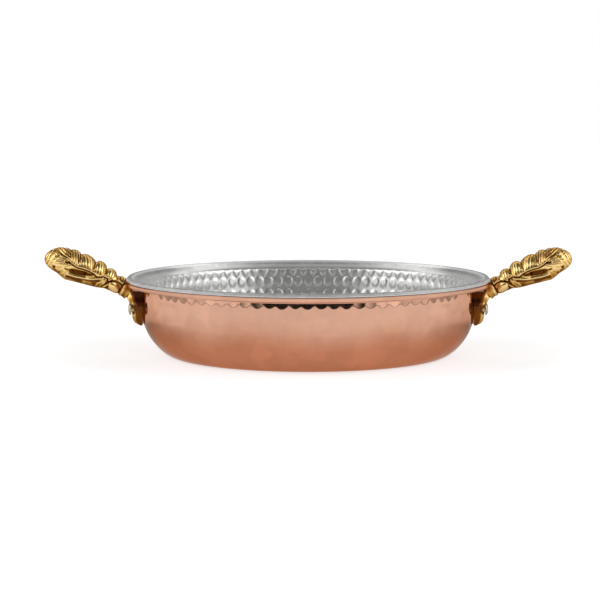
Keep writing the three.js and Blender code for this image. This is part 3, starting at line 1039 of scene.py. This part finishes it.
def lobes_relief(share, above):
    """The lobes over the vein: a raised band, cushions in it, and ribs across them."""
    band = smooth_step(above, -0.15, 0.35) * (1 - smooth_step(share, 0.72, 0.76))
    band *= smooth_step(share, 0.10, 0.13)
    lobe = np.clip(np.searchsorted(LOBES, share) - 1, 0, len(LOBES) - 2)
    start, end = np.array(LOBES)[lobe], np.array(LOBES)[lobe + 1]
    within = np.clip((share - start) / (end - start), 0, 1)
    cushion = np.sin(np.pi * within) ** 0.5
    band_height, cushion_height = 0.55, 0.75
    relief = band_height * band
    relief += band * smooth_step(above, 0.5, 4.0) * (cushion_height * cushion - band_height)

    rib_pitch, rib_strengths = 1.65, 97
    lean = 0.1 + 0.3 * smooth_step(share, 0.3, 0.7)
    phase = (along_leaf(share) - lean * above - 0.02 * above**2) / rib_pitch
    rib = np.floor(phase).astype(int) % rib_strengths
    strength = np.random.default_rng(21).uniform(0.25, 1.0, rib_strengths)[rib]
    wave = np.abs(np.sin(np.pi * phase)) ** 0.5 - 0.76
    deep = smooth_step(share, 0.59, 0.64)
    return relief + band * smooth_step(above, 0.5, 2.4) * wave * (0.42 * strength + 0.7 * deep)


def serrated_relief(share, across, above):
    """The sloping stripes between the last lobe and the tip."""
    slope = math.radians(23)
    stripe_pitch, link_pitch = 1.3, 1.5
    along = along_leaf(share)
    rise = across * math.cos(slope) - along * math.sin(slope)
    run = across * math.sin(slope) + along * math.cos(slope)
    serrated = smooth_step(above, -0.1, 0.5) * smooth_step(share, 0.715, 0.745)
    serrated *= 1 - smooth_step(share, 0.9, 0.93)
    stripe = np.abs(np.sin(np.pi * rise / stripe_pitch)) ** 0.6 - 0.6
    link = 0.04 * np.cos(2 * np.pi * run / link_pitch)
    return serrated * (1.05 * stripe + link + 0.1)


def petal_relief(share, across, above):
    """The petals under the vein, streaked like a fan from one spot."""
    fan_share, fan_height = 0.66, 1.6
    along = along_leaf(share)
    petal = smooth_step(share, 0.62, 0.72) * (1 - smooth_step(share, 0.9, 0.97))
    petal *= 1 - smooth_step(above, -0.6, 0.0)
    fan = np.arctan2(across - fan_height, along - along_leaf(fan_share))
    streak = np.abs(np.sin(fan * 13 + 0.7 * np.sin(fan * 5)))
    return petal * (0.25 - 0.16 * (1 - streak) ** 2)


def knob_relief(share, across):
    """The leaning oval knob near the root."""
    knob_share, knob_across, lean = 0.195, -2.2, 0.35
    half_length, half_width, height = 4.5, 3.1, 1.4
    over = across - knob_across
    ahead = along_leaf(share - knob_share) - lean * over
    reach = (ahead / half_length) ** 2 + (over / half_width) ** 2
    return height * np.maximum(1 - reach, 0) ** 0.9


def leaf_relief(share, across):
    """The casting's ornament, in millimetres out from the plain leaf.

    share runs from the root to the tip, across is the height over the middle line in millimetres.
    """
    above = across - np.interp(share, *np.array(VEIN).T)
    relief = lobes_relief(share, above)
    relief += serrated_relief(share, across, above)
    relief += petal_relief(share, across, above)
    relief += knob_relief(share, across)
    return with_strokes(relief, share, across, STROKES)


def leaf_frame(handle, share):
    """Points of the middle line and the way up across it, at shares of its length."""
    root = np.array([handle.root_radius, handle.root_height])
    tip = np.array([handle.tip_radius, handle.tip_height])
    reach = tip - root
    curve = np.vstack([[root], bezier(
        root, root + reach * (0.18, 0.36), root + reach * (0.55, 0.83), tip, 400
    )])
    lengths = lengths_along(curve)
    ways = np.gradient(curve, axis=0)
    ways /= np.linalg.norm(ways, axis=1)[:, None]
    spots = share * lengths[-1]
    way = at_lengths(ways, lengths, spots)
    return at_lengths(curve, lengths, spots), np.column_stack([-way[:, 1], way[:, 0]])


def leaf_share(polar):
    """Share of the leaf's length for a share of the way from pole to pole of a sphere."""
    blunt_from, sphere_from = 0.72, 0.69
    round_tip = np.sin(np.clip((polar - sphere_from) / (1 - sphere_from), 0, 1) * np.pi / 2)
    return np.where(
        polar < sphere_from,
        polar * blunt_from / sphere_from,
        blunt_from + (1 - blunt_from) * round_tip,
    )


def leaf_surface(handle, share, turn):
    """Plain leaf: points, and the height over its middle line in millimetres.

    Its top is kept low between root and tip, because the ornament adds height there.
    """
    ornament_room = 0.85
    point, up = leaf_frame(handle, share)
    top = np.interp(share, *np.array(LEAF_TOP).T)
    top = top - ornament_room * smooth_step(share, 0.1, 0.2) * (1 - smooth_step(share, 0.9, 0.96))
    bottom = np.interp(share, *np.array(LEAF_BOTTOM).T)
    wide = np.interp(share, *np.array(LEAF_WIDTH).T) * handle.half_width
    rise = np.cos(turn)
    closing = smooth_step(share, -0.001, 0.02)
    across = np.where(rise > 0, top, bottom) * rise * closing
    side = np.sin(turn) * wide * closing
    spots = point + up * across[:, None] * MM
    return np.column_stack([spots[:, 0], side, spots[:, 1]]), across


def blurred(grid, rows, columns):
    """Averages a grid of heights over a window, twice, wrapping round its second axis."""
    for axis, reach in ((0, rows), (1, columns)):
        for _ in range(2):
            pad = [(0, 0), (0, 0)]
            pad[axis] = (reach, reach)
            wide = np.pad(grid, pad, mode="wrap" if axis else "edge")
            total = np.cumsum(np.insert(wide, 0, 0, axis=axis), axis=axis)
            places = np.arange(grid.shape[axis])
            window = 2 * reach + 1
            low = np.take(total, places, axis=axis)
            high = np.take(total, places + window, axis=axis)
            grid = (high - low) / window
    return grid


def sampled(grid, row, column):
    """Reads a grid between its points, wrapping round its second axis."""
    low_row = np.minimum(row.astype(int), len(grid) - 2)
    low_column = np.floor(column).astype(int)
    row_part, column_part = row - low_row, column - low_column
    total = 0
    for step_row, part_row in ((0, 1 - row_part), (1, row_part)):
        for step_column, part_column in ((0, 1 - column_part), (1, column_part)):
            near = grid[low_row + step_row, (low_column + step_column) % grid.shape[1]]
            total = total + part_row * part_column * near
    return total


def leaf_carving(handle, share, turn, across):
    """How high each point stands over its surroundings, with the patina added.

    It is 0 in the hollows, 0.5 on plain places and 1 on the ridges.
    """
    rows, columns = 360, 256
    row_share = np.repeat(np.linspace(0, 1, rows), columns)
    column_turn = np.tile(np.linspace(-math.pi, math.pi, columns, endpoint=False), rows)
    grid_across = leaf_surface(handle, row_share, column_turn)[1]
    grid = leaf_relief(row_share, grid_across).reshape(rows, columns)
    raised = (grid - blurred(grid, 9, 6)) * 0.9 + (grid - blurred(grid, 28, 20)) * 0.35
    carving = sampled(raised, share * (rows - 1), (turn + math.pi) / FULL_TURN * columns)
    return np.clip(0.5 + with_strokes(carving, share, across, PATINA), 0, 1)


def foot_half_width(handle, height):
    """Half the foot's width at a height: a tongue with round corners, narrowed to the strap."""
    low, high = handle.foot_low, handle.foot_high
    corner, strap, shoulder = 8 * MM, 6.2 * MM, 32 * MM
    inside = np.clip((low + corner - height) / corner, 0, 1)
    rounded = handle.foot_half_width - corner + corner * np.sqrt(1 - inside**2)
    narrowing = np.clip((height - shoulder) / (high - shoulder), 0, 1)
    return rounded - (handle.foot_half_width - strap) * (1 - (1 - narrowing) ** 2)


def foot_outer(handle, wall, height):
    """Radius of the foot's outer face at a height, rounded off at the heel and bent out on top."""
    heel, bend, bend_out = 8 * MM, 26 * MM, 7.2 * MM
    inside = np.clip((handle.foot_low + heel - height) / heel, 0, 1)
    radius = wall + handle.foot_thickness * (1 - 0.95 * inside**2.6) ** 0.45
    rise = np.clip((height - bend) / (handle.foot_high - bend), 0, 1)
    return radius + bend_out * rise**2


class PAN_OT_leaf_handles(bpy.types.Operator):
    """Model the cast leaf handle, with its foot and its rivet seats, and turn a copy round"""

    bl_idname = "pan.leaf_handles"
    bl_label = "Leaf handles"

    def execute(self, context):
        handle = context.scene.pan_handle
        bowl = context.scene.pan_bowl
        rivet = context.scene.pan_rivet
        shank_hole = (rivet.shank_radius + 0.3 * MM, 90 * MM, 112 * MM)
        head_seat = (rivet.head_radius + 0.5 * MM, 106.6 * MM, 118 * MM)
        leaf, points, carving = self.leaf(handle)
        piece = combined(leaf, self.foot(handle, bowl), "UNION")
        piece = combined(piece, self.bowl_space(handle, bowl), "DIFFERENCE")
        for side in (-1, 1):
            place = radially(side * rivet_angle(rivet, bowl), rivet.height)
            for radius, start, end in (shank_hole, head_seat):
                piece = combined(piece, self.bore(place, radius, start, end), "DIFFERENCE")
        self.give_carving(piece, handle, points, carving)
        faces_outwards(piece)
        shaded_smooth(piece, 70)
        finish = brass_finish(context.scene.pan_finishes)
        only(piece)
        bpy.ops.object.duplicate()
        other = bpy.context.object
        other.data.transform(Matrix.Rotation(math.pi, 4, "Z"))
        piece.name = piece.data.name = "right_leaf"
        other.name = other.data.name = "left_leaf"
        finished(piece, "right_handle", finish)
        finished(other, "left_handle", finish)
        return {"FINISHED"}

    def leaf(self, handle):
        """The leaf, with its corners' places and the carving at each."""
        leaf = added(
            "leaf", bpy.ops.mesh.primitive_uv_sphere_add, segments=256, ring_count=280, radius=1
        )
        places = corners(leaf)
        turn = np.arctan2(places[:, 1], places[:, 0])
        share = leaf_share(np.arccos(np.clip(-places[:, 2], -1, 1)) / math.pi)
        points, across = leaf_surface(handle, share, turn)
        set_corners(leaf, points)
        faces_outwards(leaf)
        normals = np.empty(len(points) * 3, np.float32)
        leaf.data.vertices.foreach_get("normal", normals)
        relief = leaf_relief(share, across)
        relief *= smooth_step(share, 0.02, 0.08) * (1 - smooth_step(share, 0.965, 0.995))
        points = points + normals.reshape(-1, 3) * (relief * MM)[:, None]
        points[:, 0] = np.minimum(points[:, 0], handle.tip_radius)
        set_corners(leaf, points)
        return leaf, points, leaf_carving(handle, share, turn, across)

    def foot(self, handle, bowl):
        """The foot that wraps the wall, bevelled along its outer edges."""
        foot = added("foot", bpy.ops.mesh.primitive_cube_add, size=2)
        bpy.ops.object.mode_set(mode="EDIT")
        bpy.ops.mesh.select_all(action="SELECT")
        bpy.ops.mesh.subdivide(number_cuts=31)
        bpy.ops.object.mode_set(mode="OBJECT")
        bevel, bevel_depth = 5.4 * MM, 0.52
        places = np.sin(corners(foot) * math.pi / 2)
        wall = bowl.wall_radius + handle.seat_gap
        middle = (handle.foot_low + handle.foot_high) / 2
        height = middle + places[:, 2] * (handle.foot_high - handle.foot_low) / 2
        half = foot_half_width(handle, height)
        side = places[:, 1] * half
        thick = foot_outer(handle, wall, height) - wall
        slope = np.clip((np.abs(side) - half + bevel) / bevel, 0, 1) ** 1.15 * bevel_depth
        edge = np.clip((np.abs(places[:, 1]) - 0.97) / 0.03, 0, 1)
        thick = thick * (1 - slope) * (1 - 0.1 * edge**2)
        radius = wall + (places[:, 0] + 1) / 2 * thick
        set_corners(foot, np.column_stack([np.sqrt(radius**2 - side**2), side, height]))
        faces_outwards(foot)
        return foot

    def bowl_space(self, handle, bowl):
        """All that the handle must stay clear of: the bowl and the room above it."""
        below, above = -10 * MM, 80 * MM
        line = outside_line(bowl)
        upper = line[:, 1] > bowl.neck_height - 3 * MM
        line = line[upper & (line[:, 0] > bowl.wall_radius - MM / 10)]
        line = np.vstack([line, [(bowl.rim_radius, bowl.height)]])
        grown = offset_line(thinned(line, (0, len(line), 2)), -handle.seat_gap)
        outline = np.vstack([
            [(0, below), (grown[0, 0], below)], grown, [(grown[-1, 0], above), (0, above)]
        ])
        space = turned("bowl_space", outline, 240)
        faces_outwards(space)
        return space

    def bore(self, place, radius, start, end):
        """A round rod from one distance off the axis to another, along a rivet."""
        bore = added(
            "bore", bpy.ops.mesh.primitive_cylinder_add, vertices=48, radius=radius, depth=end - start
        )
        bore.data.transform(Matrix.Translation((0, 0, (start + end) / 2)))
        bore.data.transform(place)
        return bore

    def give_carving(self, piece, handle, points, carving):
        """Gives the joined casting the leaf's carving, and the foot a face set bright as a painted
        reflection of the pale floor, painted shade on its side edges that is deepest on its top under
        the lip, and a darker heel.
        """
        tree = KDTree(len(points))
        for index, point in enumerate(points):
            tree.insert(point, index)
        tree.balance()
        found = [tree.find(vertex.co) for vertex in piece.data.vertices]
        nearest = np.array([index for _, index, _ in found])
        away = np.array([distance for _, _, distance in found])
        places = corners(piece)
        side = np.abs(places[:, 1]) / foot_half_width(handle, places[:, 2])
        low = smooth_step(-places[:, 2], -26 * MM, -19 * MM)
        high = smooth_step(places[:, 2], 22 * MM, 30 * MM)
        # Painted light on the foot: its face is set bright for the pale floor it mirrors, and its
        # side edges dark, darkest near the top, for the shade under the lip. The heel is only made
        # darker.
        plain, edge_shade, top_shade, darker_heel = 0.8, 0.5, 0.65, 0.2
        edge = smooth_step(side, 0.8, 0.95)
        foot = plain - (edge_shade + top_shade * high) * edge - darker_heel * low
        values = np.where(away < 0.5 * MM, carving[nearest], foot)
        attribute = piece.data.attributes.new("carving", "FLOAT", "POINT")
        attribute.data.foreach_set("value", values.astype(np.float32))


# The rivets


def rivet_angle(rivet, bowl):
    """How far round from X a rivet stands."""
    return math.asin(rivet.spacing / 2 / bowl.wall_radius)


def radially(angle, height):
    """Turns a piece that stands on Z to point away from the pan's axis."""
    lying = Matrix.Rotation(math.pi / 2, 4, "Y")
    return Matrix.Translation((0, 0, height)) @ Matrix.Rotation(angle, 4, "Z") @ lying


class PAN_OT_rivets(bpy.types.Operator):
    """Model one rivet with its dome and its peened end, and set four of them"""

    bl_idname = "pan.rivets"
    bl_label = "Rivets"

    def execute(self, context):
        rivet = context.scene.pan_rivet
        bowl = context.scene.pan_bowl
        first = self.rivet(rivet)
        finish = rivet_finish(context.scene.pan_finishes)
        angle = rivet_angle(rivet, bowl)
        for name, turn in (
            ("right_back_rivet", angle),
            ("right_front_rivet", -angle),
            ("left_front_rivet", math.pi + angle),
            ("left_back_rivet", math.pi - angle),
        ):
            only(first)
            bpy.ops.object.duplicate()
            piece = bpy.context.object
            piece.data.transform(radially(turn, rivet.height))
            piece.name = piece.data.name = name.replace("rivet", "pin")
            finished(piece, name, finish)
        bpy.data.objects.remove(first)
        return {"FINISHED"}

    def rivet(self, rivet):
        """One rivet that stands on Z, at its distances from the axis, lightly struck."""
        inner_seat, outer_seat = 96.8 * MM, 106.9 * MM
        rim = 0.35 * MM
        outline = np.vstack([
            [(0, inner_seat - rivet.peened_height)],
            arc((0, inner_seat - rim), (rivet.peened_radius, rivet.peened_height - rim), -90, 0, 9),
            [(rivet.peened_radius - 0.1 * MM, inner_seat)],
            [(rivet.shank_radius, inner_seat), (rivet.shank_radius, outer_seat)],
            [(rivet.head_radius - 0.1 * MM, outer_seat), (rivet.head_radius, outer_seat + rim)],
            arc((0, outer_seat + rim), (rivet.head_radius, rivet.head_height - rim), 0, 90, 12),
        ])
        columns, blows, depth = 64, 9, 0.09 * MM
        piece = turned("rivet", outline, columns)
        angle, place = turned_places(piece, outline, columns)
        radius, height = outline[place, 0], outline[place, 1]
        chance = np.random.default_rng(8)
        sink = np.zeros(len(radius))
        for _ in range(blows):
            spot = chance.uniform(0, FULL_TURN)
            away = chance.uniform(0.2, 0.8) * rivet.head_radius
            reach = np.hypot(
                radius * np.cos(angle) - away * math.cos(spot),
                radius * np.sin(angle) - away * math.sin(spot),
            )
            sink = np.maximum(sink, depth * (1 - smooth_step(reach, 0.3 * MM, 1.3 * MM)))
        sink *= 1 - smooth_step(radius, 0.85 * rivet.peened_radius, 0.98 * rivet.peened_radius)
        middle = (inner_seat + outer_seat) / 2
        head = (height > outer_seat + rim) | (height < inner_seat - rim)
        height = height - np.where(head, np.sign(height - middle) * sink, 0)
        put_round(piece, radius, height, angle)
        faces_outwards(piece)
        shaded_smooth(piece, 40)
        return piece


# The stage


def floor_finish(sizes, finishes):
    """A pale matt floor that glows for the camera, and for what mirrors it except in a painted shadow
    near and behind the pan.
    """
    material = bpy.data.materials.new("pale_floor")
    material.use_nodes = True
    nodes = Nodes(material.node_tree)
    nodes.tree.nodes.clear()
    point = nodes.node("ShaderNodeTexCoord").outputs["Object"]
    # Painted shadow: the glow that mirrors see is dimmed on the floor near the pan and behind it.
    behind = nodes.ranged(nodes.apart(point)["Y"], -0.08, 0.04, 0, 0.75)
    near = nodes.ranged(nodes.reach(point), 0.16, 0.36, 1, 0)
    painted_lit_share = nodes.math("SUBTRACT", 1, nodes.product(behind, near))
    ray = nodes.node("ShaderNodeLightPath").outputs
    mirrored = nodes.product(ray["Is Glossy Ray"], painted_lit_share)
    seen = nodes.math("MAXIMUM", ray["Is Camera Ray"], mirrored)
    matt = nodes.node("ShaderNodeBsdfDiffuse", {"Color": finishes.floor})
    glow = nodes.node("ShaderNodeEmission", {"Strength": nodes.product(seen, sizes.floor_glow)})
    both = nodes.node("ShaderNodeAddShader", {0: matt.outputs["BSDF"], 1: glow.outputs["Emission"]})
    nodes.node("ShaderNodeOutputMaterial", {"Surface": both.outputs["Shader"]})
    return material


def dimmed(nodes, light, share, left):
    """Leaves only a part of the light where the share is 1."""
    return nodes.product(light, nodes.math("SUBTRACT", 1, nodes.product(share, 1 - left)))


def point_at(thing, place, aim):
    thing.rotation_euler = (Vector(aim) - Vector(place)).to_track_quat("-Z", "Y").to_euler()


class PAN_OT_stage(bpy.types.Operator):
    """Set up the floor, the surround, the lamps and the camera"""

    bl_idname = "pan.stage"
    bl_label = "Stage"

    def execute(self, context):
        sizes = context.scene.pan_stage
        self.add_floor(sizes, context.scene.pan_finishes)
        self.add_surround(context, sizes)
        self.add_lamps(sizes)
        self.add_camera(context, sizes)
        context.scene.view_settings.view_transform = "Standard"
        return {"FINISHED"}

    def add_floor(self, sizes, finishes):
        """Lays the floor a hair below the base, so that the two faces stay apart."""
        floor = added("floor", bpy.ops.mesh.primitive_plane_add, size=sizes.floor_size)
        floor.data.transform(Matrix.Translation((0, 0, -0.02 * MM)))
        floor.data.materials.append(floor_finish(sizes, finishes))

    def add_surround(self, context, sizes):
        """Sets what the metal mirrors: a dark room behind the camera and bright boxes beside it.

        A direction's z is the sine of its elevation, and ahead is 1 towards the camera's side.
        """
        world = bpy.data.worlds.new("studio")
        context.scene.world = world
        world.use_nodes = True
        nodes = Nodes(world.node_tree)
        nodes.tree.nodes.clear()
        x, y, z = nodes.apart(nodes.node("ShaderNodeTexCoord").outputs["Generated"])
        flat = nodes.math("MAXIMUM", nodes.from_axis(x, y), 0.001)
        ahead = nodes.math("DIVIDE", nodes.product(y, -1), flat)
        beside = nodes.product(nodes.rising(ahead, -0.55, -0.2), nodes.rising(z, 0, 0.08))
        ring = nodes.rising(z, 0.5, 0.62)
        below_ring_top = nodes.falling(z, 0.69, 0.8)
        boxes = nodes.product(nodes.math("MAXIMUM", beside, ring), below_ring_top)
        ring_light = nodes.product(ring, below_ring_top, sizes.ceiling)
        room = nodes.product(
            nodes.rising(ahead, 0.62, 0.88),
            nodes.rising(z, -0.01, 0.03),
            nodes.math("SUBTRACT", 1, ring_light),
        )
        above = nodes.rising(z, sizes.overhead_from, sizes.overhead_from + 0.09)
        light = nodes.total(
            sizes.surround, nodes.product(boxes, sizes.soft_boxes - sizes.surround)
        )
        light = dimmed(nodes, light, above, sizes.overhead)
        light = dimmed(nodes, light, room, sizes.room)
        ray = nodes.node("ShaderNodeLightPath").outputs
        strength = nodes.mixed(ray["Is Camera Ray"], light, 1, kind="FLOAT")
        background = nodes.node("ShaderNodeBackground", {"Color": (1, 1, 1), "Strength": strength})
        nodes.node("ShaderNodeOutputWorld", {"Surface": background.outputs["Background"]})

    def add_lamps(self, sizes):
        for name, side in (("left_lamp", -1), ("right_lamp", 1)):
            place = (side * 1.1, -0.25, 0.75)
            bpy.ops.object.light_add(type="AREA", location=place)
            lamp = bpy.context.object
            lamp.name = lamp.data.name = name
            lamp.data.shape = "SQUARE"
            lamp.data.size = 0.8
            lamp.data.energy = sizes.lamp_power
            point_at(lamp, place, (0, 0, 0.03))

    def add_camera(self, context, sizes):
        place = (0, -sizes.camera_distance, sizes.camera_height)
        bpy.ops.object.camera_add(location=place)
        camera = bpy.context.object
        camera.name = camera.data.name = "camera"
        point_at(camera, place, (-sizes.aim_left, 0, sizes.aim_height))
        camera.data.lens = sizes.lens
        camera.data.sensor_width = 36
        context.scene.camera = camera


# The add-on


OPERATORS = [
    PAN_OT_stage,
    PAN_OT_copper_bowl,
    PAN_OT_tin_lining,
    PAN_OT_leaf_handles,
    PAN_OT_rivets,
]


class PAN_PT_panel(bpy.types.Panel):
    """Lists the pan's pieces in the order in which they are made"""

    bl_idname = "PAN_PT_panel"
    bl_label = "Copper Pan"
    bl_space_type = "VIEW_3D"
    bl_region_type = "UI"
    bl_category = "Copper Pan"

    def draw(self, context):
        for operator in OPERATORS:
            self.layout.operator(operator.bl_idname)


GROUPS = {
    "pan_bowl": BowlSizes,
    "pan_lining": LiningSizes,
    "pan_handle": HandleSizes,
    "pan_rivet": RivetSizes,
    "pan_finishes": Finishes,
    "pan_stage": StageSizes,
}


def register():
    for kind in (*GROUPS.values(), *OPERATORS, PAN_PT_panel):
        bpy.utils.register_class(kind)
    for name, kind in GROUPS.items():
        setattr(bpy.types.Scene, name, bpy.props.PointerProperty(type=kind))


def unregister():
    for name in GROUPS:
        delattr(bpy.types.Scene, name)
    for kind in reversed((*GROUPS.values(), *OPERATORS, PAN_PT_panel)):
        bpy.utils.unregister_class(kind)


def main():
    register()
    for operator in OPERATORS:
        getattr(bpy.ops.pan, operator.bl_idname.split(".")[1])()


if __name__ == "__main__":
    main()
